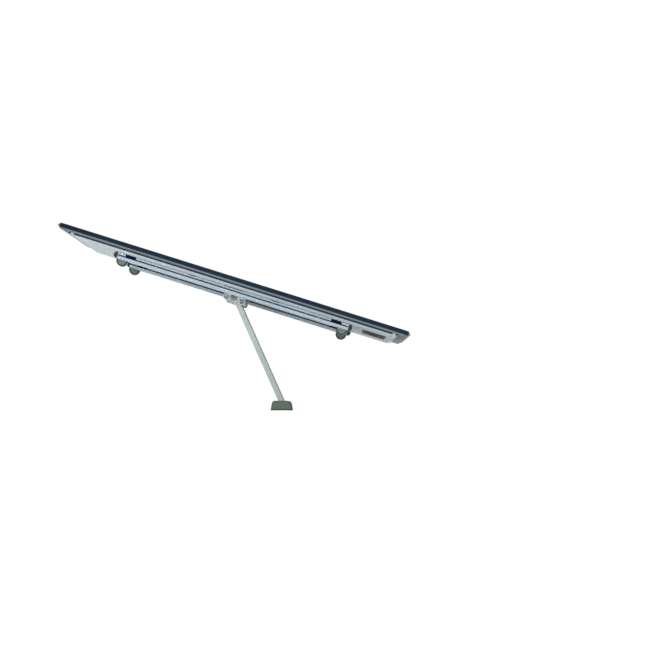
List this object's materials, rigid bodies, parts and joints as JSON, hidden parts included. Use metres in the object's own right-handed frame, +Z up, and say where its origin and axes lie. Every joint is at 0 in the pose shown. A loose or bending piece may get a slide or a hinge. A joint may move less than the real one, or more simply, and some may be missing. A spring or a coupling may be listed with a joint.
{
  "type": "laptop stand",
  "caption": "Laptop stand: a thin platform on two rails, carried by one arm that folds flat over a low screw-down foot.",
  "frame": {"origin": "on the desk under the lower hinge, at the centre of the foot's four screw holes", "axes": "+X to the user, towards the platform's low front edge; +Y to the user's right, along the hinge pins; +Z up"},
  "size_m": [0.2704, 0.26, 0.1437],
  "materials": {
    "navy_plate": "dark navy anodised, satin",
    "slate_pan": "slate powder coat, satin",
    "rail_aluminium": "pale anodised, brushed along its length",
    "arm_grey": "grey-green paint, satin",
    "foot_green": "dark grey-green paint, satin",
    "zinc_bracket": "zinc plated",
    "pin_steel": "ground steel",
    "black_screws": "black oxide",
    "bush_acetal": "dark acetal",
    "disc_steel": "plain steel",
    "cap_green": "dark green moulding",
    "bumper_rubber": "grey-green rubber",
    "pad_rubber": "near-black rubber",
    "edge_rubber": "dark rubber",
    "vent_dark": "near-black moulding"
  },
  "bodies": {
    "foot": {"foot_casting": "foot_green", "foot_pad": "pad_rubber", "lower_hinge_pin": "pin_steel", "pin_grub_screws": "black_screws", "lower_friction_disc_left": "disc_steel", "lower_friction_disc_right": "disc_steel"},
    "arm": {"lift_arm": "arm_grey", "arm_cover": "arm_grey", "arm_cover_screws": "black_screws", "lower_bush_left": "bush_acetal", "lower_bush_right": "bush_acetal", "upper_bush_left": "bush_acetal", "upper_bush_right": "bush_acetal"},
    "platform": {"top_plate": "navy_plate", "under_pan": "slate_pan", "vent_grille": "vent_dark", "pan_screws": "black_screws", "rail_screws": "black_screws", "hinge_bracket": "zinc_bracket", "bracket_screws": "black_screws", "upper_hinge_pin": "pin_steel", "upper_pin_clip": "black_screws", "stop_pin": "pin_steel", "ear_rivets": "pin_steel", "index_disc_left": "disc_steel", "rail_left": "rail_aluminium", "rail_cap_front_left": "cap_green", "bumper_foot_front_left": "bumper_rubber", "rail_cap_rear_left": "cap_green", "bumper_foot_rear_left": "bumper_rubber", "index_disc_right": "disc_steel", "rail_right": "rail_aluminium", "rail_cap_front_right": "cap_green", "bumper_foot_front_right": "bumper_rubber", "rail_cap_rear_right": "cap_green", "bumper_foot_rear_right": "bumper_rubber", "edge_strip_front": "edge_rubber", "grip_pad_front": "pad_rubber", "edge_strip_rear": "edge_rubber", "grip_pad_rear": "pad_rubber"}
  },
  "joints": [
    {"name": "arm_fold", "type": "hinge", "parent": "foot", "child": "arm", "pos_m": [0, 0, 0.0041], "axis": [0, 1, 0], "range_deg": [0, 114]},
    {"name": "platform_tilt", "type": "hinge", "parent": "arm", "child": "platform", "pos_m": [-0.03815, 0, 0.08979], "axis": [0, 1, 0], "range_deg": [-131.41, 0]}
  ],
  "couplings": [
    {"joint": "platform_tilt", "follows": "arm_fold", "ratio": -1.1526}
  ]
}
